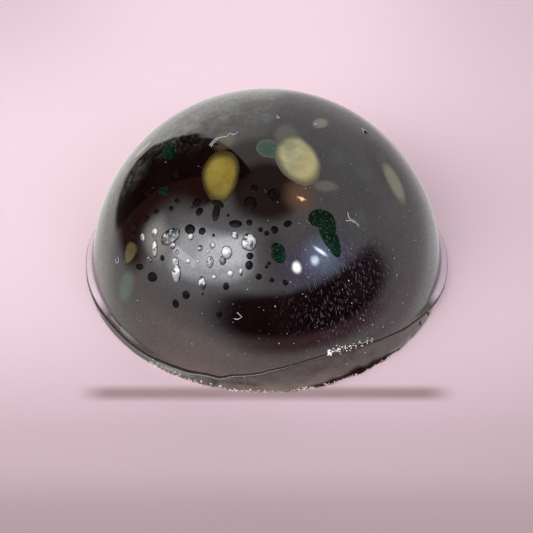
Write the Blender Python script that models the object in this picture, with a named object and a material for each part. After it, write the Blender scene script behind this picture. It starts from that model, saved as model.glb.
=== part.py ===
"""A moulded chocolate praline: a glossy half-sphere dome sealed underneath by a poured base plate."""

import bpy
import bmesh
from math import asin, atan2, cos, degrees, exp, radians, sin, sqrt
from mathutils import Vector

# Driving dimensions, in metres. The mould is a common half-sphere cavity of 30 mm.
DOME_RADIUS = 0.0144        # sphere that the dome follows
BASE_RADIUS = 0.01485       # side of the plate just above its bottom edge
SEAM_HEIGHT = 0.00070       # seam above the resting face, where the closing layer is even
SEAM_GAP = 0.0003           # crack between the dome and the plate
FLANGE_LEFT = 0.00028       # how far the dome's thin flange stands out at the far left
FLANGE_LONG = 0.00028       # the part of it that runs on round the front left
FLANGE_RIGHT = 0.00060      # the same at the far right
FLANGE_RISE = 0.0005        # height over which the flange dies away into the dome
PLATE_FLAT_RADIUS = 0.0100  # inside this radius the meeting faces are flat
EDGE_ROUND = 0.00024        # rounding of the plate's bottom edge
LIP_ROUND = 0.00010         # rounding of both lips at the seam

# Where the closing chocolate climbed above the even seam: azimuth, height, width before and after.
SWELL_AZIMUTH = -69.0
SWELL_HEIGHT = 0.00217
SWELL_WIDTH_LEFT = 28.5
SWELL_WIDTH_RIGHT = 30.0

# Mesh density.
AROUND = 96
DOME_ROWS = 20


def clear_scene():
    for item in list(bpy.data.objects):
        bpy.data.objects.remove(item, do_unlink=True)


def smooth_step(low, high, value):
    share = min(max((value - low) / (high - low), 0.0), 1.0)
    return share * share * (3.0 - 2.0 * share)


def bump(azimuth, centre, width):
    """A rounded hill of height 1 around an azimuth, all in degrees."""
    away = (azimuth - centre + 180.0) % 360.0 - 180.0
    return exp(-((away / width) ** 2))


def flange_reach(azimuth):
    """How far the flange stands out: most at the far left and right, nothing at the back and front."""
    from_back = abs((azimuth - 90.0 + 180.0) % 360.0 - 180.0)
    if abs(azimuth) < 90.0:
        reach = FLANGE_RIGHT * (1.0 - smooth_step(103.0, 128.0, from_back))
    else:
        reach = FLANGE_LEFT * (1.0 - smooth_step(103.0, 125.0, from_back))
        reach += FLANGE_LONG * (1.0 - smooth_step(130.0, 152.0, from_back))
    return reach * smooth_step(60.0, 88.0, from_back)


def seam_height(azimuth):
    """The uneven closing line: a swell at the front right, a nick left of it and a shallow dip."""
    away = (azimuth - SWELL_AZIMUTH + 180.0) % 360.0 - 180.0
    width = SWELL_WIDTH_LEFT if away < 0.0 else SWELL_WIDTH_RIGHT
    swell = SWELL_HEIGHT * exp(-((away / width) ** 2))
    nick = 0.0002 * bump(azimuth, -104.5, 2.5)
    dip = 0.00018 * bump(azimuth, -122.0, 14.0)
    return SEAM_HEIGHT + swell - nick - dip


def undercut(azimuth):
    """How far the plate draws in towards the resting face at the front and the front right."""
    return 0.00008 * bump(azimuth, -88.0, 20.0) + 0.00022 * bump(azimuth, -32.0, 26.0)


def side_radius(height, azimuth):
    """Radius of the whole sweet at a height: sphere and flange above the seam, plate below it."""
    seam = seam_height(azimuth)
    flange = flange_reach(azimuth)
    if height >= seam:
        above = height - seam - SEAM_GAP / 2 - LIP_ROUND
        sphere = sqrt(max(DOME_RADIUS ** 2 - height ** 2, 0.0))
        return sphere + flange * (1.0 - smooth_step(0.0, FLANGE_RISE, above))
    rim = sqrt(DOME_RADIUS ** 2 - seam ** 2) + flange
    foot = BASE_RADIUS - undercut(azimuth)
    return foot + (rim - foot) * (height / seam) ** 1.5


def azimuth_of(vert):
    return degrees(atan2(vert.co.y, vert.co.x))


def place(vert, radius, height):
    """Move a vertex to a radius and height, keeping its azimuth."""
    angle = atan2(vert.co.y, vert.co.x)
    vert.co = Vector((radius * cos(angle), radius * sin(angle), height))


def open_rim(bm):
    return [edge for edge in bm.edges if edge.is_boundary]


def extend_rim(bm, ring):
    """Extrude the open rim and put each new vertex where ring(azimuth) says."""
    grown = bmesh.ops.extrude_edge_only(bm, edges=open_rim(bm))["geom"]
    for vert in grown:
        if isinstance(vert, bmesh.types.BMVert):
            place(vert, *ring(azimuth_of(vert)))


def close_rim(bm):
    bmesh.ops.holes_fill(bm, edges=open_rim(bm), sides=0)
    bmesh.ops.recalc_face_normals(bm, faces=bm.faces[:])


def dome_row(azimuth, share):
    """Radius and height of the dome's side, from the seam at share 0 to the crown at share 1."""
    lowest = asin((seam_height(azimuth) + SEAM_GAP / 2 + LIP_ROUND) / DOME_RADIUS)
    angle = lowest + (radians(90.0) - lowest) * share ** 1.15
    height = DOME_RADIUS * sin(angle)
    return side_radius(height, azimuth), height


def build_dome(bm):
    """The upper half of a sphere, its rows slid up to the seam, closed by an underside."""
    bmesh.ops.create_uvsphere(bm, u_segments=AROUND, v_segments=2 * DOME_ROWS, radius=DOME_RADIUS)
    lower = [vert for vert in bm.verts if vert.co.z < -0.0001]
    bmesh.ops.delete(bm, geom=lower, context="VERTS")
    for vert in bm.verts:
        share = asin(min(vert.co.z / DOME_RADIUS, 1.0)) / radians(90.0)
        if share < 0.999:
            place(vert, *dome_row(azimuth_of(vert), share))

    def lip(azimuth):
        height = seam_height(azimuth) + SEAM_GAP / 2
        return side_radius(height, azimuth) - LIP_ROUND, height

    extend_rim(bm, lip)
    extend_rim(bm, lambda azimuth: (PLATE_FLAT_RADIUS, SEAM_HEIGHT + SEAM_GAP / 2))
    close_rim(bm)


def build_plate(bm):
    """Rings stacked up from the flat resting face to the seam, closed by a dished top."""
    bmesh.ops.create_circle(
        bm, cap_ends=True, segments=AROUND, radius=BASE_RADIUS - EDGE_ROUND
    )
    for vert in bm.verts:
        place(vert, side_radius(0.0, azimuth_of(vert)) - EDGE_ROUND, 0.0)

    for turn in (30.0, 60.0, 90.0):
        inset = EDGE_ROUND * (1.0 - sin(radians(turn)))
        height = EDGE_ROUND * (1.0 - cos(radians(turn)))
        extend_rim(bm, lambda azimuth: (side_radius(height, azimuth) - inset, height))

    def side(azimuth, share):
        top = seam_height(azimuth) - SEAM_GAP / 2 - LIP_ROUND
        height = EDGE_ROUND + (top - EDGE_ROUND) * share
        return side_radius(height, azimuth), height

    def lip(azimuth):
        height = seam_height(azimuth) - SEAM_GAP / 2
        return side_radius(height, azimuth) - LIP_ROUND, height

    extend_rim(bm, lambda azimuth: side(azimuth, 0.5))
    extend_rim(bm, lambda azimuth: side(azimuth, 1.0))
    extend_rim(bm, lip)
    extend_rim(bm, lambda azimuth: (PLATE_FLAT_RADIUS, SEAM_HEIGHT - SEAM_GAP / 2))
    close_rim(bm)


def make_material(name, colour, roughness):
    material = bpy.data.materials.new(name)
    material.use_nodes = True
    surface = material.node_tree.nodes["Principled BSDF"]
    surface.inputs["Base Color"].default_value = (*colour, 1.0)
    surface.inputs["Roughness"].default_value = roughness
    surface.inputs["Metallic"].default_value = 0.0
    return material


def make_piece(name, build, material, collection):
    """Build a mesh with the given function and put it in the collection as one named object."""
    mesh = bpy.data.meshes.new(name)
    bm = bmesh.new()
    build(bm)
    bm.to_mesh(mesh)
    bm.free()
    mesh.shade_smooth()
    mesh.set_sharp_from_angle(angle=radians(35.0))
    mesh.materials.append(material)
    piece = bpy.data.objects.new(name, mesh)
    collection.objects.link(piece)
    return piece


def main():
    clear_scene()
    collection = bpy.data.collections.new("chocolate_praline")
    bpy.context.scene.collection.children.link(collection)
    shell = make_material("shell_chocolate", (0.022, 0.011, 0.009), 0.16)
    plate = make_material("plate_chocolate", (0.030, 0.014, 0.011), 0.28)
    make_piece("dome_shell", build_dome, shell, collection)
    make_piece("base_plate", build_plate, plate, collection)


main()
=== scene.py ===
import random
from math import asin, atan2, cos, degrees, exp, radians, sin, sqrt

import bmesh
import bpy
import numpy as np
from mathutils import Matrix, Vector, noise


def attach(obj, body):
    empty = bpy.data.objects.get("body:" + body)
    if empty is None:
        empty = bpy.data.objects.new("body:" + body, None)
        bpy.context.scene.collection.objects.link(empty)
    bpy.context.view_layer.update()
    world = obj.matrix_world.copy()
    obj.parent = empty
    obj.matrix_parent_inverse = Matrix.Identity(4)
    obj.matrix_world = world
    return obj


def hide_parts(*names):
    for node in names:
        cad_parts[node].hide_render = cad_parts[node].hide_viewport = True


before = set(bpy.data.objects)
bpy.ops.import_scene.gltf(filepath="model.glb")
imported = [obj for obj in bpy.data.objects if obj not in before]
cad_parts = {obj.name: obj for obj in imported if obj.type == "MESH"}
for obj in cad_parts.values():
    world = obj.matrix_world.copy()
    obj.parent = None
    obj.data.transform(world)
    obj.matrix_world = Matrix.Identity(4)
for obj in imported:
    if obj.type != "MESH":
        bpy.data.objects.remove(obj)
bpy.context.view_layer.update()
mm = 0.001
print("frame loaded:", ", ".join(sorted(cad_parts)))

# the sweet's outer form, the same measures as its solids
form = {
    "domeRadius": 14.4 * mm,
    "baseRadius": 14.85 * mm,
    "seamHeight": 0.70 * mm,
    "flangeLeft": 0.28 * mm,
    "flangeLong": 0.28 * mm,
    "flangeRight": 0.60 * mm,
    "flangeRise": 0.5 * mm,
    "flatRadius": 10.0 * mm,
    "swellAzimuth": -69.0,
    "swellHeight": 2.17 * mm,
}


def smoothStep(low, high, value):
    share = min(max((value - low) / (high - low), 0.0), 1.0)
    return share * share * (3.0 - 2.0 * share)


def turnedAway(azimuth, centre):
    return (azimuth - centre + 180.0) % 360.0 - 180.0


def hill(azimuth, centre, width):
    return exp(-((turnedAway(azimuth, centre) / width) ** 2))


def flangeReach(azimuth):
    # the thin flange stands out at the far left and right and runs on a little round the front left
    fromBack = abs(turnedAway(azimuth, 90.0))
    if abs(azimuth) < 90.0:
        reach = form["flangeRight"] * (1.0 - smoothStep(103.0, 128.0, fromBack))
    else:
        reach = form["flangeLeft"] * (1.0 - smoothStep(103.0, 125.0, fromBack))
        reach += form["flangeLong"] * (1.0 - smoothStep(130.0, 152.0, fromBack))
    return reach * smoothStep(60.0, 88.0, fromBack)


def seamHeight(azimuth):
    away = turnedAway(azimuth, form["swellAzimuth"])
    width = 28.5 if away < 0.0 else 30.0
    swell = form["swellHeight"] * exp(-((away / width) ** 2))
    nick = 0.2 * mm * hill(azimuth, -104.5, 2.5)
    dip = 0.18 * mm * hill(azimuth, -122.0, 14.0)
    turn = radians(azimuth)
    ripple = noise.noise(Vector((9 * cos(turn), 9 * sin(turn), 1.7))) * 0.05 * mm
    ripple += noise.noise(Vector((30 * cos(turn), 30 * sin(turn), 4.2))) * 0.035 * mm
    return form["seamHeight"] + swell - nick - dip + ripple


def undercut(azimuth):
    return 0.08 * mm * hill(azimuth, -88.0, 20.0) + 0.22 * mm * hill(azimuth, -32.0, 26.0)


def sideRadius(height, azimuth):
    seam = seamHeight(azimuth)
    flange = flangeReach(azimuth)
    if height >= seam:
        above = height - seam - 0.15 * mm
        sphere = sqrt(max(form["domeRadius"] ** 2 - height ** 2, 0.0))
        return sphere + flange * (1.0 - smoothStep(0.0, form["flangeRise"], above))
    rim = sqrt(form["domeRadius"] ** 2 - seam ** 2) + flange
    foot = form["baseRadius"] - undercut(azimuth)
    return foot + (rim - foot) * (height / seam) ** 1.5


def polar(azimuth, radius, height):
    turn = radians(azimuth)
    return Vector((radius * cos(turn), radius * sin(turn), height))


def azimuthOf(point):
    return degrees(atan2(point.y, point.x))


relief = {
    "broad": 0.018 * mm,  # slow waves left by the mould
    "broadPerMm": 0.16,
    "ripple": 0.0030 * mm,
    "ripplePerMm": 0.8,
    "smear": 0.014 * mm,  # the rubbed patch high on the back left
    "smearPerMm": 0.9,
    "smearCentre": (150.0, 62.0),
    "smearReach": (2.0 * mm, 7.0 * mm),
}


def onSphere(azimuth, latitude):
    flat = cos(radians(latitude))
    turn = radians(azimuth)
    return Vector((flat * cos(turn), flat * sin(turn), sin(radians(latitude)))) * form["domeRadius"]


def reliefAt(point):
    place = point / mm
    wave = noise.noise(place * relief["broadPerMm"]) * relief["broad"]
    wave += noise.noise(place * relief["ripplePerMm"] + Vector((5, 1, 9))) * relief["ripple"]
    away = (point - onSphere(*relief["smearCentre"])).length
    near = 1.0 - smoothStep(*relief["smearReach"], away)
    if near > 0.0:
        drawn = Vector((place.x * 0.6, place.y * 1.5, place.z * 1.5))
        wave += noise.noise(drawn * relief["smearPerMm"]) * relief["smear"] * near
    return wave


def surfacePoint(azimuth, height):
    point = polar(azimuth, sideRadius(height, azimuth), height)
    return point + point.normalized() * reliefAt(point)


def openRim(bm):
    return [edge for edge in bm.edges if edge.is_boundary]


def extendRim(bm, ring):
    grown = bmesh.ops.extrude_edge_only(bm, edges=openRim(bm))["geom"]
    for vert in grown:
        if isinstance(vert, bmesh.types.BMVert):
            vert.co = ring(azimuthOf(vert.co))


def closeRim(bm):
    bmesh.ops.holes_fill(bm, edges=openRim(bm), sides=0)
    bmesh.ops.recalc_face_normals(bm, faces=bm.faces[:])


def finishPiece(name, bm, material, sharpAngle=40.0):
    mesh = bpy.data.meshes.new(name)
    bm.to_mesh(mesh)
    bm.free()
    mesh.shade_smooth()
    mesh.set_sharp_from_angle(angle=radians(sharpAngle))
    mesh.materials.append(material)
    piece = bpy.data.objects.new(name, mesh)
    bpy.context.scene.collection.objects.link(piece)
    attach(piece, "root")
    return piece


# shader helpers

def addNode(tree, kind, values=None, **settings):
    node = tree.nodes.new(kind)
    for key, value in settings.items():
        setattr(node, key, value)
    for key, value in (values or {}).items():
        if isinstance(value, bpy.types.NodeSocket):
            tree.links.new(value, node.inputs[key])
        else:
            node.inputs[key].default_value = value
    return node


def calc(tree, operation, first, second=0.0, third=0.0, clamp=False):
    node = addNode(tree, "ShaderNodeMath", {0: first, 1: second, 2: third}, operation=operation)
    node.use_clamp = clamp
    return node.outputs[0]


def blendColours(tree, factor, first, second, mode="MIX"):
    node = addNode(tree, "ShaderNodeMix", data_type="RGBA", blend_type=mode)
    for socket, value in zip((node.inputs[0], node.inputs[6], node.inputs[7]), (factor, first, second)):
        if isinstance(value, bpy.types.NodeSocket):
            tree.links.new(value, socket)
        else:
            socket.default_value = value
    return node.outputs[2]


def ramp(tree, value, low, high, outLow=0.0, outHigh=1.0):
    node = addNode(
        tree, "ShaderNodeMapRange",
        {0: value, 1: low, 2: high, 3: outLow, 4: outHigh}, interpolation_type="SMOOTHSTEP",
    )
    return node.outputs[0]


def newGroup(name, inputs, outputs):
    group = bpy.data.node_groups.new(name, "ShaderNodeTree")
    for label, kind, value in inputs:
        socket = group.interface.new_socket(label, in_out="INPUT", socket_type=kind)
        if value is not None:
            socket.default_value = value
    for label, kind in outputs:
        group.interface.new_socket(label, in_out="OUTPUT", socket_type=kind)
    start = group.nodes.new("NodeGroupInput")
    end = group.nodes.new("NodeGroupOutput")
    return group, start, end


def useGroup(tree, group, values):
    node = tree.nodes.new("ShaderNodeGroup")
    node.node_tree = group
    for key, value in values.items():
        if isinstance(value, bpy.types.NodeSocket):
            tree.links.new(value, node.inputs[key])
        else:
            node.inputs[key].default_value = value
    return node


def makeMottleGroup():
    # uneven pigment or fat: a coarse and a fine noise, both around 0.5
    group, start, end = newGroup(
        "mottle",
        [("Vector", "NodeSocketVector", None), ("Coarse", "NodeSocketFloat", 700.0),
         ("Fine", "NodeSocketFloat", 5000.0), ("Fine Share", "NodeSocketFloat", 0.4)],
        [("Coarse Mask", "NodeSocketFloat"), ("Fine Mask", "NodeSocketFloat"), ("Mask", "NodeSocketFloat")],
    )
    coarse = addNode(group, "ShaderNodeTexNoise",
                     {"Vector": start.outputs["Vector"], "Scale": start.outputs["Coarse"], "Detail": 3.0})
    fine = addNode(group, "ShaderNodeTexNoise",
                   {"Vector": start.outputs["Vector"], "Scale": start.outputs["Fine"], "Detail": 4.0,
                    "Roughness": 0.65})
    both = addNode(group, "ShaderNodeMix",
                   {0: start.outputs["Fine Share"], 2: coarse.outputs[0], 3: fine.outputs[0]})
    group.links.new(coarse.outputs[0], end.inputs["Coarse Mask"])
    group.links.new(fine.outputs[0], end.inputs["Fine Mask"])
    group.links.new(both.outputs[0], end.inputs["Mask"])
    return group


def makeHairlineGroup():
    # thin pale rub marks, drawn out down the side of the dome
    group, start, end = newGroup(
        "hairlines",
        [("Vector", "NodeSocketVector", None), ("Scale", "NodeSocketFloat", 9500.0),
         ("Stretch", "NodeSocketFloat", 0.34), ("Threshold", "NodeSocketFloat", 0.58)],
        [("Mask", "NodeSocketFloat")],
    )
    flat = addNode(group, "ShaderNodeVectorMath",
                   {0: start.outputs["Vector"], 1: (1.0, 1.0, 0.0)}, operation="MULTIPLY")
    ring = addNode(group, "ShaderNodeVectorMath", {0: flat.outputs[0]}, operation="NORMALIZE")
    height = addNode(group, "ShaderNodeSeparateXYZ", {0: start.outputs["Vector"]}).outputs[2]
    tall = addNode(group, "ShaderNodeCombineXYZ",
                   {2: calc(group, "MULTIPLY", height, start.outputs["Stretch"])})
    drawn = addNode(group, "ShaderNodeVectorMath",
                    {0: ring.outputs[0], 1: (0.0125, 0.0125, 0.0125), 2: tall.outputs[0]},
                    operation="MULTIPLY_ADD")
    lines = addNode(group, "ShaderNodeTexNoise",
                    {"Vector": drawn.outputs[0], "Scale": start.outputs["Scale"], "Detail": 2.0,
                     "Roughness": 0.5})
    top = calc(group, "ADD", start.outputs["Threshold"], 0.08)
    mask = addNode(group, "ShaderNodeMapRange",
                   {0: lines.outputs[0], 1: start.outputs["Threshold"], 2: top}, interpolation_type="SMOOTHSTEP")
    group.links.new(mask.outputs[0], end.inputs["Mask"])
    return group


def makeSpeckGroup():
    # scattered pale dots, thinned out by a slow noise
    group, start, end = newGroup(
        "specks",
        [("Vector", "NodeSocketVector", None), ("Scale", "NodeSocketFloat", 5600.0),
         ("Size", "NodeSocketFloat", 0.16), ("Share", "NodeSocketFloat", 0.5)],
        [("Mask", "NodeSocketFloat")],
    )
    cells = addNode(group, "ShaderNodeTexVoronoi",
                    {"Vector": start.outputs["Vector"], "Scale": start.outputs["Scale"]})
    inner = calc(group, "MULTIPLY", start.outputs["Size"], 0.6)
    dot = addNode(group, "ShaderNodeMapRange",
                  {0: cells.outputs["Distance"], 1: inner, 2: start.outputs["Size"], 3: 1.0, 4: 0.0},
                  interpolation_type="SMOOTHSTEP")
    parts = addNode(group, "ShaderNodeSeparateXYZ", {0: cells.outputs["Color"]})
    kept = calc(group, "LESS_THAN", parts.outputs[0], start.outputs["Share"])
    strength = calc(group, "MULTIPLY_ADD", parts.outputs[1], 0.8, 0.2)
    mask = calc(group, "MULTIPLY", calc(group, "MULTIPLY", dot.outputs[0], kept), strength)
    group.links.new(mask, end.inputs["Mask"])
    return group


mottle = makeMottleGroup()
hairlines = makeHairlineGroup()
specks = makeSpeckGroup()


def newMaterial(name):
    material = bpy.data.materials.new(name)
    material.use_nodes = True
    tree = material.node_tree
    surface = tree.nodes["Principled BSDF"]
    where = addNode(tree, "ShaderNodeTexCoord").outputs["Object"]
    return material, tree, surface, where


def setSurface(surface, **values):
    for key, value in values.items():
        socket = surface.inputs[key.replace("_", " ")]
        socket.default_value = value


chocolate = {
    "dome": {"dark": (0.0020, 0.0005, 0.0004, 1), "light": (0.0120, 0.0034, 0.0030, 1), "coat": 1.0,
             "coatRough": 0.045, "rough": (0.30, 0.45), "hairline": 1.0, "specks": 0.30,
             "patch": (0.0080, 0.0040, 0.0045, 1), "patched": 0.3},
    # the plate's chocolate is painted far lighter than the dome's: painted reflection of the pale floor on its side
    "plate": {"dark": (0.0560, 0.0390, 0.0350, 1), "light": (0.1300, 0.0980, 0.0900, 1), "coat": 0.95,
              "coatRough": 0.16, "rough": (0.35, 0.55), "hairline": 0.3, "specks": 0.22,
              "patch": (0.0880, 0.0900, 0.0760, 1), "patched": 0.6},
    "coatIor": 2.05,
    "sheen": 0.03,  # how much the chocolate under the coat shines
    "rimReflection": (0.98, 0.78, 0.85, 1),  # painted reflection: the thin flange painted pale pink, as if it mirrored the pale backdrop
    "shadedEdge": (0.0110, 0.0022, 0.0016, 1),  # painted shade: the near-black, unglossed lower edge of the plate at the front right and the inside of its pits
    "dust": (0.46, 0.42, 0.46, 1),
}


def makeChocolate(name, kind):
    # a clear gloss over very dark brown, with a faint grain, rub marks and fine dust; also a pale haze that is partly
    # painted reflection, a painted reflection on the flange and painted shade on the plate's lower edge and pits
    look = chocolate[kind]
    material, tree, surface, where = newMaterial(name)
    spots = useGroup(tree, mottle, {"Vector": where, "Coarse": 260.0, "Fine": 5200.0, "Fine Share": 0.7})
    lines = useGroup(tree, hairlines, {"Vector": where})
    dots = useGroup(tree, specks, {"Vector": where})
    tint = addNode(tree, "ShaderNodeAttribute", attribute_name="butterTint")
    cover = addNode(tree, "ShaderNodeAttribute", attribute_name="tintCover").outputs["Fac"]
    rubbed = addNode(tree, "ShaderNodeAttribute", attribute_name="rubbed")
    smudgeAndSheen = addNode(tree, "ShaderNodeAttribute", attribute_name="smudgeAndSheen")
    rimReflection = addNode(tree, "ShaderNodeAttribute", attribute_name="rimReflection").outputs["Fac"]
    shade = addNode(tree, "ShaderNodeAttribute", attribute_name="shade").outputs["Fac"]

    share = ramp(tree, spots.outputs["Mask"], 0.38, 0.68)
    brown = blendColours(tree, share, look["dark"], look["light"])
    patch = ramp(tree, spots.outputs["Coarse Mask"], 0.46, 0.60, 0.0, look["patched"])
    brown = blendColours(tree, patch, brown, look["patch"])
    tinted = blendColours(tree, cover, brown, tint.outputs["Color"])
    # pale haze on the dome, partly smudges and partly painted reflection of the bright wall
    streaks = useGroup(tree, mottle, {"Vector": where, "Coarse": 420.0, "Fine": 1700.0, "Fine Share": 0.55})
    haze = ramp(tree, streaks.outputs["Mask"], 0.42, 0.66)
    haze = calc(tree, "MULTIPLY", haze, smudgeAndSheen.outputs["Fac"])
    hazed = blendColours(tree, haze, tinted, (0.20, 0.205, 0.19, 1))
    hair = calc(tree, "MULTIPLY", lines.outputs["Mask"], rubbed.outputs["Fac"])
    hair = calc(tree, "MULTIPLY", hair, look["hairline"])
    few = calc(tree, "MULTIPLY_ADD", rubbed.outputs["Fac"], 0.20, 0.08)
    dust = calc(tree, "MULTIPLY", calc(tree, "MULTIPLY", dots.outputs["Mask"], few), look["specks"] * 3.0)
    marks = calc(tree, "ADD", calc(tree, "MULTIPLY", hair, 0.26), calc(tree, "MULTIPLY", dust, 0.5), clamp=True)
    paled = blendColours(tree, marks, hazed, chocolate["dust"])
    # painted reflection: the flange is painted pale pink
    paled = blendColours(tree, rimReflection, paled, chocolate["rimReflection"])
    # painted shade: the plate's lower edge at the front right and its pits are painted near black
    paled = blendColours(tree, shade, paled, chocolate["shadedEdge"])
    tree.links.new(paled, surface.inputs["Base Color"])

    rough = ramp(tree, spots.outputs["Fine Mask"], 0.35, 0.7, *look["rough"])
    tree.links.new(rough, surface.inputs["Roughness"])
    dulled = ramp(tree, spots.outputs["Mask"], 0.36, 0.64, look["coat"], look["coat"] * 0.74)
    # the painted reflection on the flange and the painted shade on the plate both take the gloss away
    bare = calc(tree, "MAXIMUM", rimReflection, shade)
    dulled = calc(tree, "MULTIPLY", dulled, calc(tree, "SUBTRACT", 1.0, bare))
    tree.links.new(dulled, surface.inputs["Coat Weight"])

    grain = calc(tree, "MULTIPLY", spots.outputs["Fine Mask"], 0.6)
    grain = calc(tree, "ADD", grain, marks)
    bump = addNode(tree, "ShaderNodeBump", {"Strength": 0.2, "Distance": 0.00003, "Height": grain})
    tree.links.new(bump.outputs[0], surface.inputs["Normal"])
    setSurface(surface, IOR=1.5, Specular_IOR_Level=chocolate["sheen"],
               Coat_Roughness=look["coatRough"], Coat_IOR=chocolate["coatIor"])
    return material


def makeButter(name, colours, edge=(0.004, 0.003, 0.002, 1), rough=(0.3, 0.5), coat=0.1, sheen=0.1,
               fine=0.4, flecks=0.0, shaded=0.0, edgeFrom=0.80, grain=900.0, span=(0.36, 0.66)):
    # pigmented cocoa butter: two mottled colours, bright flecks, one side blended toward a fourth colour and a dark
    # outline; that side colour is a painted reflection on the clear beads and a painted glow on the green drops
    material, tree, surface, where = newMaterial(name)
    spots = useGroup(tree, mottle, {"Vector": where, "Coarse": grain, "Fine": 7000.0, "Fine Share": fine})
    tone = addNode(tree, "ShaderNodeAttribute", attribute_name="dropTone").outputs["Fac"]
    share = ramp(tree, calc(tree, "MULTIPLY_ADD", tone, 0.22, spots.outputs["Mask"]), *span)
    colour = blendColours(tree, share, colours[0], colours[1])
    side = addNode(tree, "ShaderNodeAttribute", attribute_name="dropSide").outputs["Fac"]
    if flecks > 0.0:
        dots = useGroup(tree, specks, {"Vector": where, "Scale": 6400.0, "Size": 0.40, "Share": flecks})
        amount = calc(tree, "MULTIPLY", dots.outputs["Mask"], calc(tree, "MULTIPLY_ADD", side, -0.3, 1.0))
        colour = blendColours(tree, amount, colour, colours[2])
    if shaded > 0.0:
        colour = blendColours(tree, calc(tree, "MULTIPLY", side, shaded), colour, colours[3])
    outline = addNode(tree, "ShaderNodeAttribute", attribute_name="dropEdge").outputs["Fac"]
    colour = blendColours(tree, ramp(tree, outline, edgeFrom, 0.97, 0.0, 0.95), colour, edge)
    tree.links.new(colour, surface.inputs["Base Color"])
    tree.links.new(ramp(tree, spots.outputs["Fine Mask"], 0.3, 0.7, rough[0], rough[1]),
                   surface.inputs["Roughness"])
    bump = addNode(tree, "ShaderNodeBump",
                   {"Strength": 0.15, "Distance": 0.00003, "Height": spots.outputs["Fine Mask"]})
    tree.links.new(bump.outputs[0], surface.inputs["Normal"])
    setSurface(surface, IOR=1.5, Specular_IOR_Level=sheen, Coat_Weight=coat, Coat_Roughness=0.05,
               Coat_IOR=1.6)
    return material


domeMaterial = makeChocolate("domeChocolate", "dome")
plateMaterial = makeChocolate("plateChocolateWithPaintedReflection", "plate")
print("chocolate materials made")

dome = {"around": 480, "rows": 150, "crackLip": 0.07 * mm, "crack": (0.15 * mm, 0.10 * mm)}

# faint colour lying under the gloss: azimuth, latitude, width, length, turn, colour, cover
tints = [
    (-144, 20, 1.5, 2.6, -3, (0.034, 0.105, 0.066), 0.75),
    (-160, 76, 2.0, 1.6, -37, (0.140, 0.120, 0.060), 0.55),
    (129, 72, 1.2, 2.2, -16, (0.040, 0.110, 0.085), 0.60),
    (92, 85, 1.1, 1.3, 0, (0.030, 0.080, 0.060), 0.50),
    (-20, 66, 1.3, 1.7, 90, (0.010, 0.040, 0.022), 0.65),
    (-19, 56, 1.1, 1.7, 75, (0.010, 0.040, 0.025), 0.50),
    (-42, 48, 1.1, 1.6, -53, (0.010, 0.045, 0.025), 0.60),
    (-30, 83, 2.6, 1.8, 30, (0.120, 0.118, 0.085), 0.60),
    (-48, 62, 0.9, 1.8, 60, (0.160, 0.150, 0.110), 0.60),
    (-9, 45, 1.7, 3.3, -42, (0.30, 0.28, 0.17), 0.95),
    (18, 72, 1.0, 1.7, 39, (0.24, 0.23, 0.16), 0.85),
    (1, 51, 0.9, 1.5, 62, (0.060, 0.050, 0.035), 0.50),
    (166, 66, 1.0, 2.1, -31, (0.120, 0.115, 0.100), 0.60),
    (-64, 41, 1.4, 2.6, 10, (0.008, 0.040, 0.028), 0.60),
]


# pale haze, partly smudges and partly painted reflection of the bright wall: azimuth, latitude, reach in mm, strength
smudgeSheenPatches = [
    (174, 40, 3.6, 0.50), (158, 62, 4.4, 0.60), (178, 18, 3.2, 0.35), (128, 70, 5.4, 0.55), (95, 68, 5.6, 0.42),
    (62, 60, 4.0, 0.22),
]


def localAxes(azimuth, latitude):
    out = onSphere(azimuth, latitude).normalized()
    turn = radians(azimuth)
    east = Vector((-sin(turn), cos(turn), 0.0))
    return out, east, out.cross(east)


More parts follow.
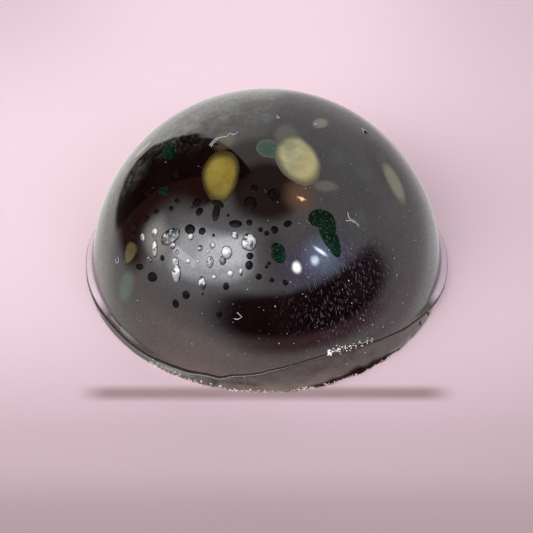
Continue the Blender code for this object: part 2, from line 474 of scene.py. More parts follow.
def paintDome(mesh):
    points = np.empty(len(mesh.vertices) * 3)
    mesh.vertices.foreach_get("co", points)
    points = points.reshape(-1, 3)
    colour = np.zeros((len(points), 4))
    for azimuth, latitude, width, length, turn, tint, cover in tints:
        out, east, north = localAxes(azimuth, latitude)
        offset = points - np.array(onSphere(azimuth, latitude))
        right, up = offset @ np.array(east), offset @ np.array(north)
        c, s = cos(radians(turn)), sin(radians(turn))
        across = (right * c + up * s) / (width * 0.5 * mm)
        along = (-right * s + up * c) / (length * 0.5 * mm)
        reach = np.sqrt(across ** 2 + along ** 2)
        here = np.clip((1.35 - reach) / 0.75, 0.0, 1.0)
        here = here * here * (3.0 - 2.0 * here) * cover
        here[offset @ np.array(out) < -4.0 * mm] = 0.0
        total = np.maximum(colour[:, 3], here)
        weight = np.where(total > 1e-6, here / np.maximum(total, 1e-6), 0.0)[:, None]
        colour[:, :3] = colour[:, :3] * (1.0 - weight) + np.array(tint) * weight
        colour[:, 3] = total
    layer = mesh.attributes.new("butterTint", "FLOAT_COLOR", "POINT")
    layer.data.foreach_set("color", colour.ravel())
    layer = mesh.attributes.new("tintCover", "FLOAT", "POINT")
    layer.data.foreach_set("value", np.ascontiguousarray(colour[:, 3]))

    # where the side was rubbed: the lower right of the front
    centre = np.array(onSphere(-60, 31))
    away = np.linalg.norm(points - centre, axis=1) / mm
    rub = np.clip((6.5 - away) / 4.5, 0.0, 1.0)
    layer = mesh.attributes.new("rubbed", "FLOAT", "POINT")
    layer.data.foreach_set("value", rub)

    # pale haze, partly smudges and partly painted reflection of the bright wall: along the left, high on the back left
    # and over the crown
    smudgeAndSheen = np.zeros(len(points))
    for azimuth, latitude, reach, strength in smudgeSheenPatches:
        away = np.linalg.norm(points - np.array(onSphere(azimuth, latitude)), axis=1) / mm
        smudgeAndSheen = np.maximum(smudgeAndSheen, np.clip(1.6 - 1.6 * away / reach, 0.0, 1.0) * strength)
    layer = mesh.attributes.new("smudgeAndSheen", "FLOAT", "POINT")
    layer.data.foreach_set("value", smudgeAndSheen)

    # painted reflection: the thin flange is painted pale where it would mirror the pale backdrop
    layer = mesh.attributes.new("rimReflection", "FLOAT", "POINT")
    for number, point in enumerate(mesh.vertices):
        azimuth = azimuthOf(point.co)
        above = point.co.z - seamHeight(azimuth)
        if above < 1.0 * mm:
            share = smoothStep(0.24 * mm, 0.50 * mm, flangeReach(azimuth))
            low = 1.0 - smoothStep(0.45 * mm, 0.70 * mm, above)
            layer.data[number].value = share * low * smoothStep(0.20 * mm, 0.26 * mm, above)


def crackHalf(azimuth):
    wide, narrow = dome["crack"]
    share = smoothStep(-118.0, -80.0, azimuth) if azimuth < 40.0 else 0.3
    return 0.5 * (wide + (narrow - wide) * share)


def makeDome():
    # the upper half of a ball, split finer, its rows slid up to the seam
    bm = bmesh.new()
    bmesh.ops.create_uvsphere(bm, u_segments=dome["around"] // 2, v_segments=dome["rows"],
                              radius=form["domeRadius"])
    lower = [vert for vert in bm.verts if vert.co.z < -0.01 * mm]
    bmesh.ops.delete(bm, geom=lower, context="VERTS")
    bmesh.ops.subdivide_edges(bm, edges=bm.edges[:], cuts=1, use_grid_fill=True)
    for vert in bm.verts:
        share = asin(min(vert.co.normalized().z, 1.0)) / radians(90.0)
        azimuth = azimuthOf(vert.co)
        if share > 0.9995:
            vert.co += vert.co.normalized() * reliefAt(vert.co)
            continue
        lowest = asin((seamHeight(azimuth) + crackHalf(azimuth) + dome["crackLip"]) / form["domeRadius"])
        angle = lowest + (radians(90.0) - lowest) * share ** 1.3
        vert.co = surfacePoint(azimuth, form["domeRadius"] * sin(angle))

    for turn in (25.0, 50.0, 75.0, 90.0):
        inset = dome["crackLip"] * (1.0 - cos(radians(turn)))
        drop = dome["crackLip"] * sin(radians(turn))

        def lipRing(azimuth):
            height = seamHeight(azimuth) + crackHalf(azimuth) + dome["crackLip"] - drop
            point = surfacePoint(azimuth, height)
            return point - Vector((point.x, point.y, 0.0)).normalized() * inset

        extendRim(bm, lipRing)
    extendRim(bm, lambda azimuth: polar(azimuth, 13.3 * mm, seamHeight(azimuth) + crackHalf(azimuth)))
    extendRim(bm, lambda azimuth: polar(azimuth, form["flatRadius"], form["seamHeight"] + 0.15 * mm))
    closeRim(bm)
    piece = finishPiece("dome_surface", bm, domeMaterial, 60.0)
    paintDome(piece.data)
    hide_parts("dome_shell")
    return piece


makeDome()
print("dome made")

plate = {
    "around": 900,
    "edgeRound": 0.22 * mm,
    "lip": 0.05 * mm,
    "sideRows": 14,
    "wave": 0.030 * mm,
    "brokenEdge": 0.20 * mm,
    # height of the painted shade along the plate's lower edge
    "shadedEdge": 1.15 * mm,
    # small pits: azimuth, height, half width, half height, depth, in mm
    "pits": [(-27.5, 0.76, 0.20, 0.34, 0.42), (-32.5, 0.68, 0.12, 0.26, 0.24)],
}


def insidePit(azimuth, height, pit):
    across = radians(turnedAway(azimuth, pit[0])) * 15.0 / pit[2]
    up = (height / mm - pit[1]) / pit[3]
    return 1.0 - smoothStep(0.55, 1.05, sqrt(across * across + up * up))


def plateRelief(azimuth, height):
    turn = radians(azimuth)
    place = Vector((15 * cos(turn), 15 * sin(turn), height / mm))
    wave = noise.noise(place * 0.9) * plate["wave"] + noise.noise(place * 3.1) * plate["wave"] * 0.35
    # the lower edge is broken at the front right
    broken = hill(azimuth, -62.0, 22.0) + 0.35 * hill(azimuth, -105.0, 14.0)
    low = 1.0 - smoothStep(0.1 * mm, 0.75 * mm, height)
    bite = max(noise.noise(Vector((place.x, place.y, 2.0)) * 1.3) + 0.45, 0.0)
    wave -= plate["brokenEdge"] * min(broken, 1.0) * low * bite
    for pit in plate["pits"]:
        wave -= pit[4] * mm * insidePit(azimuth, height, pit)
    return wave


def makePlate():
    bm = bmesh.new()
    bmesh.ops.create_circle(bm, cap_ends=True, segments=plate["around"], radius=14.0 * mm)
    rounding = plate["edgeRound"]
    for vert in bm.verts:
        azimuth = azimuthOf(vert.co)
        vert.co = polar(azimuth, sideRadius(0.0, azimuth) - rounding - 0.05 * mm, 0.0)

    def sideRing(height, inset):
        def ring(azimuth):
            radius = sideRadius(height, azimuth) - inset + plateRelief(azimuth, height)
            return polar(azimuth, radius, height)
        return ring

    for turn in (25.0, 50.0, 75.0, 90.0):
        height = rounding * (1.0 - cos(radians(turn)))
        extendRim(bm, sideRing(height, rounding * (1.0 - sin(radians(turn)))))

    def topRing(share, turn):
        def ring(azimuth):
            top = seamHeight(azimuth) - crackHalf(azimuth)
            height = rounding + (top - plate["lip"] - rounding) * share + plate["lip"] * sin(radians(turn))
            radius = sideRadius(height, azimuth) + plateRelief(azimuth, height)
            radius += 0.02 * mm * smoothStep(0.7, 1.0, share) - plate["lip"] * (1.0 - cos(radians(turn)))
            return polar(azimuth, radius, height)
        return ring

    for row in range(1, plate["sideRows"] + 1):
        extendRim(bm, topRing(row / plate["sideRows"], 0.0))
    for turn in (25.0, 50.0, 75.0, 90.0):
        extendRim(bm, topRing(1.0, turn))
    extendRim(bm, lambda azimuth: polar(azimuth, 13.3 * mm, seamHeight(azimuth) - crackHalf(azimuth)))
    extendRim(bm, lambda azimuth: polar(azimuth, form["flatRadius"], form["seamHeight"] - 0.15 * mm))
    closeRim(bm)
    piece = finishPiece("plate_surface", bm, plateMaterial, 60.0)
    # painted shade: the plate's lower edge at the front right, up to the shaded band's height, and the inside of its
    # pits get near-black colour and no gloss
    layer = piece.data.attributes.new("shade", "FLOAT", "POINT")
    for number, point in enumerate(piece.data.vertices):
        azimuth = azimuthOf(point.co)
        turn = radians(azimuth)
        uneven = 0.95 + 0.4 * noise.noise(Vector((14 * cos(turn), 14 * sin(turn), 6.0)))
        top = plate["shadedEdge"] * uneven * hill(azimuth, -61.0, 16.0)
        dark = 1.0 - smoothStep(0.6 * top, top + 0.01 * mm, point.co.z)
        for pit in plate["pits"]:
            dark = max(dark, insidePit(azimuth, point.co.z, pit))
        layer.data[number].value = dark
    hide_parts("base_plate")
    return piece


makePlate()
print("base plate made")

# drops of coloured cocoa butter: azimuth, latitude, width, length (mm), turn, taper, rise (mm)
butter = {
    "yellow": [(-128.0, 66.8, 3.05, 4.70, 36, 0.10, 0.040)],
    "cream": [(-52.5, 74.2, 3.50, 4.90, -20, -0.06, 0.035)],
    "mustard": [(-148, 30, 1.35, 2.05, 12, 0.38, 0.060)],
    "blush": [(167, 45, 1.00, 2.20, 24, 0.0, 0.030)],
    "green": [
        (-178, 58, 1.35, 2.40, -72, 0.0, 0.030),
        (-153, 52, 0.75, 1.25, -62, 0.1, 0.030),
        (-62, 53.8, 1.45, 1.75, 70, 0.0, 0.045),
        (-60, 51.0, 1.50, 2.40, -18, 0.12, 0.043),
        (-60.5, 46.6, 1.22, 2.90, 6, 0.10, 0.038),
        (-85, 46, 1.10, 1.60, 12, 0.0, 0.055),
    ],
    "teal": [(-87, 80.6, 1.75, 2.10, 25, 0.0, 0.016)],
    "olive": [(-119.3, 58.4, 0.62, 1.10, 84, 0.0, 0.060), (-118.2, 56.2, 0.60, 1.60, 14, -0.10, 0.070)],
    "clear": [
        # clear beads; their white part and darker lower side are a painted reflection of the window, and the last
        # value tells how much white
        (-98, 49, 1.15, 1.35, 7, 0.25), (-107, 45, 0.85, 1.05, 17, 0.75), (-108, 42.4, 0.55, 0.75, 10, -0.3),
        (-114, 46, 0.5, 0.5, 0, 0.3), (-104, 39, 0.5, 0.55, 0, 1.0), (-113, 41, 0.55, 0.95, 16, 0.2),
        (-122, 39, 0.4, 0.45, 0, 0.2), (-100, 40, 0.3, 0.65, 7, 0.0), (-125, 46, 0.5, 0.55, 0, -0.1),
        (-127, 37, 0.6, 0.75, 25, 0.4), (-128, 40, 0.35, 0.4, 0, 0.0), (-125, 34, 0.8, 1.5, 20, 0.25),
        (-114, 34, 0.6, 1.15, 12, -0.25), (-138, 37, 0.5, 1.45, 35, 0.3), (-146, 37, 0.45, 0.75, 50, 0.1),
        (-138, 33, 0.55, 0.6, 0, -0.2), (-142, 41, 0.6, 0.8, 20, 0.2), (-134, 43, 1.15, 1.9, -35, -0.35),
        (-105, 50.5, 0.5, 0.7, 40, 0.0), (-118, 40, 0.25, 0.25, 0, 0.3), (-115, 44, 0.25, 0.25, 0, 0.3),
        (-131, 41, 0.5, 0.6, 0, -0.2), (-110, 37, 0.35, 0.4, 0, 0.5), (-119, 44, 0.45, 0.5, 0, 0.0),
    ],
    "dark": [
        (176, 63, 0.6, 1.2, -64), (-131, 56, 0.7, 0.8, 0), (-127, 54, 0.6, 0.7, 0), (-132, 54, 0.2, 0.2, 0),
        (-127, 48, 0.8, 0.9, 90), (-121, 49, 0.6, 0.6, 0), (-115, 49, 0.25, 0.25, 0),
        (-111, 56, 0.25, 0.25, 0), (-106, 54, 0.6, 1.0, -81), (-99, 55, 0.5, 0.5, 0),
        (-100, 61, 1.0, 1.1, 20), (-99, 66, 0.6, 0.7, 15), (-93, 53, 0.4, 0.4, 0), (-90, 52, 0.4, 0.4, 0),
        (-86, 53, 0.6, 0.6, 0), (-85, 64, 1.0, 1.1, 0), (-97, 45, 0.55, 0.55, 0), (-97, 42.2, 0.6, 0.7, 0),
        (-89, 43, 0.3, 0.3, 0), (-90, 42, 0.3, 0.3, 0), (-93, 39, 0.5, 0.5, 0), (-88, 38, 0.4, 0.4, 0),
        (-83, 37, 0.4, 0.5, 30), (-142, 50, 0.4, 0.5, 90), (-142, 53, 0.4, 0.5, 90), (-150, 42, 0.5, 0.6, 0),
        (-154, 43, 0.2, 0.3, -60), (-153, 37, 0.5, 0.8, 60), (-151, 35, 0.4, 0.5, 60),
        (-157, 38, 0.5, 0.9, -60), (-133, 36, 0.4, 0.5, 40), (-141, 29, 0.5, 0.9, -57),
        (-134, 29, 0.8, 1.0, -56), (-119, 29, 0.65, 0.7, 0), (-122, 25, 0.6, 0.7, 0), (-106, 26, 0.5, 0.6, 0),
        (-99, 29, 0.4, 0.4, 0), (-113, 31, 0.2, 0.2, 0), (-105, 35, 0.5, 0.6, 0), (-163, 73, 0.22, 0.9, -62),
        (-79, 54.5, 0.7, 0.5, 20), (-160, 47, 0.5, 0.7, -60),
        (-148, 46, 0.4, 0.6, -50), (-156, 58, 0.5, 0.8, -70), (18, 55, 0.35, 0.55, 20),
    ],
    "darkRise": 0.060,
    "clearRise": 0.120,
}


def layDrop(bm, layers, azimuth, latitude, width, length, turn, taper=0.0, rise=0.04, tone=0.0, detail=20):
    # a flattened ball pressed onto the dome, its outline slightly uneven
    edgeLayer, sideLayer, toneLayer = layers
    out, east, north = localAxes(azimuth, latitude)
    c, s = cos(radians(turn)), sin(radians(turn))
    verts = bmesh.ops.create_uvsphere(bm, u_segments=detail, v_segments=max(10, detail // 2), radius=1.0)["verts"]
    for vert in verts:
        flat = sqrt(vert.co.x ** 2 + vert.co.y ** 2)
        place = Vector((vert.co.x * 1.3, vert.co.y * 1.3, azimuth + latitude * 0.7))
        uneven = 1.0 + 0.10 * noise.noise(place) + 0.03 * noise.noise(place * 2.7)
        across = vert.co.x * uneven * (1.0 + taper * vert.co.y) * width * 0.5 * mm
        along = vert.co.y * uneven * length * 0.5 * mm
        right, up = across * c - along * s, across * s + along * c
        direction = (out * form["domeRadius"] + east * right + north * up).normalized()
        point = surfacePoint(azimuthOf(direction), form["domeRadius"] * direction.z)
        height = rise * mm * vert.co.z if vert.co.z > 0.0 else 0.02 * mm * vert.co.z
        vert[edgeLayer] = flat
        vert[toneLayer] = tone
        # dropSide marks the lower right of each drop: painted reflection on the clear beads, painted glow on the green
        # drops
        lowSide = (right * 0.5 - up) / (0.5 * mm * sqrt(width * length))
        vert[sideLayer] = smoothStep(-0.35, 0.55, lowSide)
        vert.co = point + direction * (height - 0.004 * mm)


def makeDrops(name, drops, material, rise=None, detail=20):
    bm = bmesh.new()
    layers = [bm.verts.layers.float.new(label) for label in ("dropEdge", "dropSide", "dropTone")]
    for drop in drops:
        size = drop[2] * drop[3]
        # small drops stand less high
        place = drop
        if rise is not None:
            place = (*drop[:5], 0.0, rise * min(1.0, 0.45 + 0.6 * size), *drop[5:])
        fine = 48 if size > 4.0 else 28 if size > 0.5 else detail
        layDrop(bm, layers, *place, detail=fine)
    bmesh.ops.recalc_face_normals(bm, faces=bm.faces[:])
    return finishPiece(name, bm, material, 80.0)


yellowMaterial = makeButter(
    "yellowButter", [(0.29, 0.215, 0.030, 1), (0.38, 0.295, 0.060, 1), (0.75, 0.68, 0.38, 1), (0.17, 0.135, 0.035, 1)],
    edge=(0.030, 0.023, 0.008, 1), rough=(0.25, 0.4), coat=0.25, fine=0.25, flecks=0.03, shaded=0.35, edgeFrom=0.58)
creamMaterial = makeButter(
    "creamButter", [(0.36, 0.36, 0.19, 1), (0.60, 0.55, 0.30, 1), (0.72, 0.66, 0.35, 1), (0.62, 0.53, 0.20, 1)],
    edge=(0.12, 0.12, 0.075, 1), rough=(0.25, 0.4), coat=0.4, fine=0.2, flecks=0.05, shaded=0.5, edgeFrom=0.64)
tealMaterial = makeButter(
    "tealButter", [(0.040, 0.085, 0.062, 1), (0.080, 0.135, 0.100, 1), (0.30, 0.42, 0.34, 1)],
    edge=(0.11, 0.13, 0.095, 1), rough=(0.3, 0.5), coat=0.3, fine=0.5, flecks=0.05, edgeFrom=0.45)
mustardMaterial = makeButter(
    "mustardButter", [(0.095, 0.075, 0.024, 1), (0.14, 0.115, 0.038, 1), (0.3, 0.26, 0.15, 1), (0.2, 0.17, 0.09, 1)],
    edge=(0.003, 0.0015, 0.001, 1), rough=(0.3, 0.45), coat=0.12, fine=0.5, flecks=0.05, shaded=0.2, edgeFrom=0.66)
blushMaterial = makeButter(
    "blushButter", [(0.44, 0.31, 0.25, 1), (0.54, 0.42, 0.34, 1)],
    edge=(0.05, 0.035, 0.03, 1), rough=(0.25, 0.4), coat=0.6)
# the fourth colour, a brighter teal on the lower right side of the green drops, is a painted glow
greenMaterial = makeButter(
    "greenButter", [(0.0008, 0.0045, 0.0016, 1), (0.0020, 0.0150, 0.0060, 1), (0.050, 0.210, 0.080, 1),
                    (0.006, 0.050, 0.028, 1)],
    edge=(0.0006, 0.0018, 0.0008, 1), rough=(0.4, 0.6), coat=0.08, sheen=0.04, fine=0.6, flecks=0.75,
    shaded=0.22, edgeFrom=0.90)
oliveMaterial = makeButter(
    "oliveButter", [(0.006, 0.0050, 0.0028, 1), (0.012, 0.010, 0.0055, 1)],
    edge=(0.0006, 0.0006, 0.0004, 1), rough=(0.3, 0.5), coat=0.10, sheen=0.05, edgeFrom=0.7)
darkMaterial = makeButter(
    "darkButter", [(0.0030, 0.0018, 0.0014, 1), (0.0160, 0.0095, 0.0075, 1)],
    edge=(0.0002, 0.0002, 0.0002, 1), rough=(0.4, 0.6), coat=0.10, sheen=0.02, fine=0.5, edgeFrom=0.5, grain=2600.0)
# painted reflection: the clear beads are white where they would mirror the window and dark on their lower side
clearMaterial = makeButter(
    "clearButterWithPaintedReflection", [(0.035, 0.048, 0.044, 1), (0.95, 0.96, 0.93, 1), (1, 1, 1, 1), (0.045, 0.050, 0.048, 1)],
    edge=(0.004, 0.004, 0.0035, 1), rough=(0.15, 0.3), coat=1.0, fine=0.2, shaded=0.6, edgeFrom=0.70, grain=3000.0,
    span=(0.44, 0.58))

makeDrops("yellow_drop", butter["yellow"], yellowMaterial)
makeDrops("cream_drop", butter["cream"], creamMaterial)
makeDrops("teal_patches", butter["teal"], tealMaterial)
makeDrops("mustard_drop", butter["mustard"], mustardMaterial)
makeDrops("blush_drop", butter["blush"], blushMaterial)
makeDrops("green_drops", butter["green"], greenMaterial)
makeDrops("olive_drip", butter["olive"], oliveMaterial)
makeDrops("dark_drops", butter["dark"], darkMaterial, butter["darkRise"])
makeDrops("clear_beads", butter["clear"], clearMaterial, butter["clearRise"])
print("cocoa butter drops made")


def makeGrit(name, colours, rough, coat=0.0, glint=0.0):
    material, tree, surface, where = newMaterial(name)
    spots = useGroup(tree, mottle, {"Vector": where, "Coarse": 2500.0, "Fine": 9000.0})
    share = ramp(tree, spots.outputs["Mask"], 0.4, 0.6)
    colour = blendColours(tree, share, colours[0], colours[1])
    tree.links.new(colour, surface.inputs["Base Color"])
    tree.links.new(colour, surface.inputs["Emission Color"])
    tree.links.new(ramp(tree, spots.outputs["Fine Mask"], 0.3, 0.7, rough, rough + 0.2),
                   surface.inputs["Roughness"])
    setSurface(surface, Coat_Weight=coat, Emission_Strength=glint)
    return material


grit = {
    "seamCrystals": {"count": 90, "azimuth": (-70.5, -54.0), "spread": 0.34, "lift": 0.16, "size": (0.03, 0.09)},
    "edgeCrumbs": {"count": 380, "azimuth": (-128.0, -44.0), "size": (0.030, 0.100)},
    "dust": {"count": 260, "size": (0.014, 0.036)},
    "placedDust": [
        (-87, 30), (-81, 37), (-77, 33), (-76, 32), (-59, 33), (-60, 26), (-58, 20), (-57, 19), (-59, 16),
        (-40, 16), (-46, 12.5), (-54, 16), (-50, 13), (-58, 7.5), (-20, 37), (-23, 29), (-23, 26), (-17, 22),
        (-37, 31), (-39, 26), (-112, 25), (-114, 14), (-102, 13), (-97, 35), (-73, 54), (-69, 54), (-73, 46),
        (-63, 44), (-137, 19), (-86, 18),
    ],
}


def addGrain(bm, chance, place, size, subdivisions=1):
    # a jagged grain: a low ball pulled about and turned at random
    verts = bmesh.ops.create_icosphere(bm, subdivisions=subdivisions, radius=size * mm)["verts"]
    stretch = Vector((chance.uniform(0.6, 1.3), chance.uniform(0.6, 1.3), chance.uniform(0.5, 1.0)))
    spin = Matrix.Rotation(chance.uniform(0, 6.28), 3, Vector((chance.random(), chance.random(), 1.0)).normalized())
    for vert in verts:
        vert.co = Vector((vert.co.x * stretch.x, vert.co.y * stretch.y, vert.co.z * stretch.z))
        vert.co *= chance.uniform(0.78, 1.2)
        vert.co = spin @ vert.co + place


def makeSeamCrystals(material):
    settings = grit["seamCrystals"]
    chance = random.Random(11)
    bm = bmesh.new()
    for number in range(settings["count"]):
        share = chance.random() ** 1.8
        azimuth = settings["azimuth"][0] + (settings["azimuth"][1] - settings["azimuth"][0]) * share
        height = seamHeight(azimuth) + chance.gauss(settings["lift"], settings["spread"] * 0.5) * mm
        point = surfacePoint(azimuth, height)
        size = chance.uniform(*settings["size"]) * (1.0 - 0.4 * share)
        addGrain(bm, chance, point + point.normalized() * size * 0.3 * mm, size)
    return finishPiece("seam_crystals", bm, material, 20.0)


def makeEdgeCrumbs(material):
    settings = grit["edgeCrumbs"]
    chance = random.Random(5)
    bm = bmesh.new()
    for number in range(settings["count"]):
        azimuth = chance.uniform(*settings["azimuth"])
        if azimuth > -70.0 and chance.random() < 0.6:
            continue
        size = chance.uniform(*settings["size"])
        height = size * mm + abs(chance.gauss(0.0, 0.13)) * mm
        inset = max(plate["edgeRound"] - height, 0.0) ** 2 / plate["edgeRound"] * 0.5
        radius = sideRadius(height, azimuth) + plateRelief(azimuth, height) - inset
        addGrain(bm, chance, polar(azimuth, radius, height), size)
    return finishPiece("edge_crumbs", bm, material, 20.0)


def makeDust(material):
    chance = random.Random(8)
    bm = bmesh.new()
    places = [(azimuth, latitude, 0.055) for azimuth, latitude in grit["placedDust"]]
    for number in range(grit["dust"]["count"]):
        azimuth = chance.triangular(-175.0, -5.0, -55.0) if number % 3 else chance.uniform(-180.0, 180.0)
        latitude = degrees(asin(chance.uniform(0.13, 0.95) ** 1.2))
        places.append((azimuth, latitude, chance.uniform(*grit["dust"]["size"])))
    for azimuth, latitude, size in places:
        height = form["domeRadius"] * sin(radians(latitude))
        point = surfacePoint(azimuth, height)
        addGrain(bm, chance, point + point.normalized() * size * 0.2 * mm, size)
    return finishPiece("dust_specks", bm, material, 20.0)


# painted glint: the sugar crystals glow faintly though they are no lamp
crystalMaterial = makeGrit("sugarCrystal", [(0.80, 0.75, 0.70, 1), (1.0, 0.99, 0.97, 1)], 0.15, 0.8, 0.4)
crumbMaterial = makeGrit("cocoaCrumb", [(0.45, 0.28, 0.16, 1), (1.0, 0.95, 0.88, 1)], 0.3, 0.5)
dustMaterial = makeGrit("dust", [(0.62, 0.60, 0.60, 1), (0.85, 0.84, 0.84, 1)], 0.6)
makeSeamCrystals(crystalMaterial)
makeEdgeCrumbs(crumbMaterial)
makeDust(dustMaterial)
print("crystals, crumbs and dust made")

# hairs and lint caught on the dome: points as azimuth, latitude; thickness in mm
lint = {
    "radius": 0.030,
    "strands": [
        [(-46.5, 51.6), (-47.6, 49.8), (-45.8, 48.6), (-45.2, 46.4)],
        [(-49.6, 49.8), (-47.2, 49.0), (-46.2, 47.8)],
        [(-100.0, 27.6), (-98.2, 26.4), (-99.6, 25.4), (-100.8, 25.5)],
        [(-153.0, 25.2), (-151.4, 24.4), (-152.6, 23.2), (-154.0, 23.8)],
        [(57.0, 84.5), (50.0, 83.8), (62.0, 83.2)],
        [(14.0, 74.6), (16.0, 74.2), (15.0, 73.6)],
        [(-160.0, 71.6), (-163.0, 72.6), (-166.5, 74.4), (-167.5, 75.6)],
        [(-162.5, 71.4), (-165.0, 72.2), (-168.0, 73.6), (-169.5, 75.0)],
        [(-168.5, 75.4), (-165.5, 77.4), (-170.0, 78.4), (-164.0, 80.0), (-169.0, 81.0)],
        [(16.0, 56.2), (20.5, 55.8), (20.0, 53.8)],
    ],
}


def makeLint(material):
    curve = bpy.data.curves.new("lint", "CURVE")
    curve.dimensions = "3D"
    curve.bevel_depth = lint["radius"] * mm
    curve.bevel_resolution = 2
    curve.use_fill_caps = True
    for strand in lint["strands"]:
        spline = curve.splines.new("POLY")
        spline.points.add(len(strand) - 1)
        for point, (azimuth, latitude) in zip(spline.points, strand):
            place = surfacePoint(azimuth, form["domeRadius"] * sin(radians(latitude)))
            point.co = (*(place + place.normalized() * 0.03 * mm), 1.0)
    holder = bpy.data.objects.new("lintCurve", curve)
    bpy.context.scene.collection.objects.link(holder)
    bpy.context.view_layer.update()
    mesh = bpy.data.meshes.new_from_object(holder.evaluated_get(bpy.context.evaluated_depsgraph_get()))
    bpy.data.objects.remove(holder, do_unlink=True)
    bm = bmesh.new()
    bm.from_mesh(mesh)
    bmesh.ops.remove_doubles(bm, verts=bm.verts, dist=0.0005 * mm)
    bmesh.ops.recalc_face_normals(bm, faces=bm.faces[:])
    return finishPiece("lint_fibres", bm, material)


makeLint(makeGrit("lint", [(0.66, 0.64, 0.62, 1), (0.86, 0.85, 0.83, 1)], 0.5))
print("lint made")

# the room round the sweet, in degrees: azimuth from the front, elevation, half width, half height,
# turn, softness, squareness, colour; later panels lie over earlier ones
room = {
    "fill": (0.57, 0.545, 0.565, 1),
    "panels": [
        (0, -90, 400, 68, 0, 0.14, 8, (0.98, 0.77, 0.73)),  # pale table close by
        (10, -52, 75, 22, 0, 0.40, 3, (1.20, 0.92, 0.86)),
        (-108, -34, 34, 14, 0, 0.50, 3, (0.74, 0.69, 0.66)),
        (-140, -24, 26, 14, 0, 0.40, 3, (1.00, 0.96, 0.93)),
        (-70, -10, 34, 13, 0, 0.60, 3, (0.74, 0.65, 0.65)),
        (-38, -20, 34, 9, 0, 0.60, 3, (1.02, 0.82, 0.78)),
        (82, -20, 34, 14, 0, 0.60, 3, (0.60, 0.53, 0.56)),
        (136, 3, 16, 14, 0, 0.50, 3, (0.46, 0.45, 0.46)),
        (142, -34, 34, 9, 0, 0.50, 3, (0.82, 0.80, 0.81)),
        (30, -9, 46, 9, 0, 0.50, 3, (0.27, 0.145, 0.175)),
        (-166, 20, 16.5, 30, 0, 0.20, 4, (0.74, 0.72, 0.70)),  # white wall on the left
        (-166, -20, 16.5, 27, 0, 0.20, 4, (1.04, 1.03, 1.00)),
        (-155, -10, 10, 24, 0, 0.20, 4, (1.05, 1.03, 0.99)),
        (-166, 60, 22, 10, 0, 0.5, 4, (0.38, 0.35, 0.35)),
        (0, 90, 400, 21, 0, 0.24, 8, (0.095, 0.070, 0.066)),  # dark ceiling
        (-117, 33, 32, 43, 0, 0.12, 4, (0.075, 0.026, 0.022)),  # dark doorway
        (-134, 31, 17, 44, 2, 0.05, 6, (0.006, 0.001, 0.001)),
        (-5, 46, 22, 16, 0, 0.5, 3, (0.40, 0.36, 0.37)),
        (-50, 35, 46, 23, 16, 0.38, 3, (1.00, 0.98, 1.02)),  # light round the window
        (-46, 37, 31, 15, 20, 0.26, 4, (2.8, 2.85, 3.05)),  # the window
        (-37, 43, 20, 9, 24, 0.40, 4, (4.3, 4.4, 4.6)),
        (-64, 26, 10, 2.4, 6, 0.16, 5, (3.9, 3.9, 4.2)),  # a pane catching more light
        (-88, 18, 11, 8, 0, 0.55, 3, (1.9, 1.8, 1.72)),
        (42, 34, 28, 15, 0, 0.6, 3, (0.46, 0.42, 0.68)),  # violet screen
        (46, 38, 12, 9, 0, 0.9, 2, (1.05, 1.25, 1.85)),
        (26, 8, 58, 15, 0, 0.24, 4, (0.014, 0.007, 0.010)),  # dark bench in front
        (66, 11, 15, 11, 0, 0.5, 3, (0.050, 0.034, 0.046)),
        (86, 70, 26, 7, 0, 0.7, 3, (0.95, 0.56, 0.36)),  # warm glow of the lamp
        (81, 68.5, 2.8, 0.9, 0, 0.6, 2, (11.0, 7.0, 3.8)),
        (82, 69, 1.2, 2.4, 0, 0.5, 2, (11.0, 7.5, 4.5)),
        (24.6, 37.3, 2.7, 3.0, 0, 0.6, 2, (13.0, 12.6, 12.8)),  # three small lights
        (47.5, 40, 4.6, 1.2, -58, 0.6, 2, (9.0, 10.0, 12.0)),
        (40, 37, 2.8, 2.3, 0, 0.7, 2, (6.5, 7.2, 8.8)),
    ],
    "beyondFloor": (0.86, 0.74, 0.79, 1),
    "floorLow": (0.578, 0.440, 0.456, 1),
    "floorHigh": (0.92, 0.715, 0.775, 1),
    "floorGlow": 0.30,
}


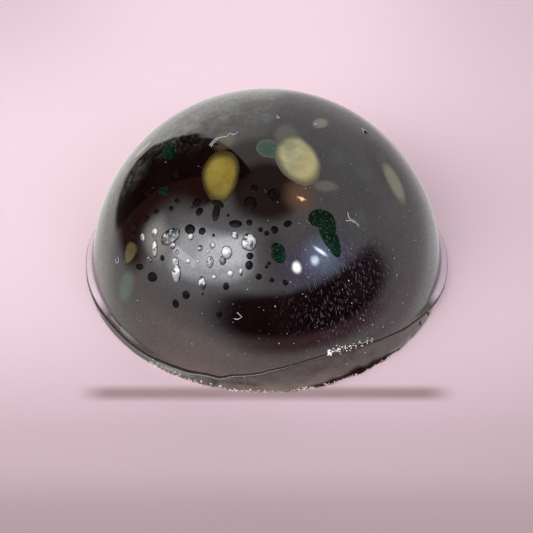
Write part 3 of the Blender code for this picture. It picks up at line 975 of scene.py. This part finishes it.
def makePanelGroup():
    group, start, end = newGroup(
        "softPanel",
        [("Azimuth", "NodeSocketFloat", 0.0), ("Elevation", "NodeSocketFloat", 0.0),
         ("Centre Azimuth", "NodeSocketFloat", 0.0), ("Centre Elevation", "NodeSocketFloat", 0.0),
         ("Half Width", "NodeSocketFloat", 10.0), ("Half Height", "NodeSocketFloat", 10.0),
         ("Turn", "NodeSocketFloat", 0.0), ("Softness", "NodeSocketFloat", 0.2),
         ("Squareness", "NodeSocketFloat", 4.0)],
        [("Mask", "NodeSocketFloat")],
    )
    given = start.outputs
    away = calc(group, "SUBTRACT", given["Azimuth"], given["Centre Azimuth"])
    away = calc(group, "WRAP", away, -180.0, 180.0)
    rise = calc(group, "SUBTRACT", given["Elevation"], given["Centre Elevation"])
    angle = calc(group, "RADIANS", given["Turn"])
    c, s = calc(group, "COSINE", angle), calc(group, "SINE", angle)
    across = calc(group, "MULTIPLY_ADD", away, c, calc(group, "MULTIPLY", rise, s))
    along = calc(group, "SUBTRACT", calc(group, "MULTIPLY", rise, c), calc(group, "MULTIPLY", away, s))
    across = calc(group, "DIVIDE", across, given["Half Width"])
    along = calc(group, "DIVIDE", along, given["Half Height"])
    square = given["Squareness"]
    reach = calc(group, "ADD", calc(group, "POWER", calc(group, "ABSOLUTE", across), square),
                 calc(group, "POWER", calc(group, "ABSOLUTE", along), square))
    reach = calc(group, "POWER", reach, calc(group, "DIVIDE", 1.0, square))
    inner = calc(group, "SUBTRACT", 1.0, given["Softness"])
    outer = calc(group, "ADD", 1.0, given["Softness"])
    mask = addNode(group, "ShaderNodeMapRange", {0: reach, 1: inner, 2: outer, 3: 1.0, 4: 0.0},
                   interpolation_type="SMOOTHSTEP")
    group.links.new(mask.outputs[0], end.inputs["Mask"])
    return group


def makeRoom():
    world = bpy.data.worlds.new("room")
    bpy.context.scene.world = world
    world.use_nodes = True
    tree = world.node_tree
    sky = tree.nodes["Background"]
    direction = addNode(tree, "ShaderNodeTexCoord").outputs["Generated"]
    parts = addNode(tree, "ShaderNodeSeparateXYZ", {0: direction})
    azimuth = calc(tree, "ARCTAN2", parts.outputs[0], calc(tree, "MULTIPLY", parts.outputs[1], -1.0))
    azimuth = calc(tree, "DEGREES", azimuth)
    elevation = calc(tree, "DEGREES", calc(tree, "ARCSINE", parts.outputs[2]))
    softPanel = makePanelGroup()
    colour = room["fill"]
    for centre, height, halfWidth, halfHeight, turn, softness, squareness, shade in room["panels"]:
        mask = useGroup(tree, softPanel, {
            "Azimuth": azimuth, "Elevation": elevation, "Centre Azimuth": centre, "Centre Elevation": height,
            "Half Width": halfWidth, "Half Height": halfHeight, "Turn": turn, "Softness": softness,
            "Squareness": squareness,
        }).outputs["Mask"]
        colour = blendColours(tree, mask, colour, (*shade, 1.0))
    plainRay = addNode(tree, "ShaderNodeLightPath").outputs["Is Camera Ray"]
    tree.links.new(blendColours(tree, plainRay, colour, room["beyondFloor"]), sky.inputs["Color"])


def makeFloor():
    bm = bmesh.new()
    bmesh.ops.create_grid(bm, x_segments=1, y_segments=1, size=1.5)
    bmesh.ops.translate(bm, verts=bm.verts, vec=Vector((0.0, 0.0, -0.01 * mm)))
    mesh = bpy.data.meshes.new("floor")
    bm.to_mesh(mesh)
    bm.free()
    material, tree, surface, where = newMaterial("paleFloor")
    parts = addNode(tree, "ShaderNodeSeparateXYZ", {0: where})
    # painted shade: the floor is painted darker toward the front
    share = ramp(tree, parts.outputs[1], -0.040, 0.004)
    colour = blendColours(tree, share, room["floorLow"], room["floorHigh"])
    # a thin soft shadow in line with the front of the sweet
    across = ramp(tree, calc(tree, "ABSOLUTE", parts.outputs[0]), 0.0120, 0.0150, 1.0, 0.0)
    along = calc(tree, "ABSOLUTE", calc(tree, "ADD", parts.outputs[1], 0.0147))
    along = ramp(tree, along, 0.0001, 0.0011, 0.85, 0.0)
    colour = blendColours(tree, calc(tree, "MULTIPLY", across, along), colour, (0.22, 0.13, 0.12, 1))
    tree.links.new(colour, surface.inputs["Base Color"])
    # the light behind the sweet falls off again further back
    near = calc(tree, "MAXIMUM", ramp(tree, parts.outputs[1], -0.030, -0.004),
                ramp(tree, parts.outputs[1], -0.0270, -0.0215, 0.0, 0.42))
    glow = calc(tree, "MULTIPLY", near, ramp(tree, parts.outputs[1], 0.012, 0.040, 1.0, 0.90))
    glow = calc(tree, "MULTIPLY", glow, ramp(tree, parts.outputs[0], 0.002, 0.028, 1.0, 0.38))
    corner = calc(tree, "MULTIPLY", ramp(tree, parts.outputs[1], 0.015, 0.045),
                  ramp(tree, calc(tree, "ABSOLUTE", parts.outputs[0]), 0.008, 0.030))
    glow = calc(tree, "MULTIPLY", glow, calc(tree, "MULTIPLY_ADD", corner, -0.75, 1.0))
    tree.links.new(blendColours(tree, glow, (0, 0, 0, 1), room["floorHigh"]), surface.inputs["Emission Color"])
    setSurface(surface, Roughness=0.9, Specular_IOR_Level=0.1, Emission_Strength=room["floorGlow"])
    # the gloss sees the room's own pale table instead of this floor
    seen = addNode(tree, "ShaderNodeLightPath").outputs["Is Camera Ray"]
    through = addNode(tree, "ShaderNodeBsdfTransparent")
    both = addNode(tree, "ShaderNodeMixShader", {0: seen, 1: through.outputs[0], 2: surface.outputs[0]})
    tree.links.new(both.outputs[0], tree.nodes["Material Output"].inputs["Surface"])
    mesh.materials.append(material)
    floor = bpy.data.objects.new("floor", mesh)
    bpy.context.scene.collection.objects.link(floor)


makeRoom()
makeFloor()
print("room and floor made")

view = {"elevation": 43.5, "distance": 144.0 * mm, "lens": 117.2, "aim": (0.0, -0.53 * mm, 0.0)}


def makeCamera():
    lens = bpy.data.cameras.new("camera")
    lens.lens = view["lens"]
    lens.sensor_width = 36.0
    lens.clip_start = 0.01
    lens.clip_end = 10.0
    camera = bpy.data.objects.new("camera", lens)
    tilt = radians(view["elevation"])
    outward = Vector((0.0, -cos(tilt), sin(tilt)))
    camera.location = Vector(view["aim"]) + outward * view["distance"]
    camera.rotation_euler = outward.to_track_quat("Z", "Y").to_euler()
    bpy.context.scene.collection.objects.link(camera)
    bpy.context.scene.camera = camera


makeCamera()
bpy.context.scene.view_settings.view_transform = "Standard"
print("camera set")
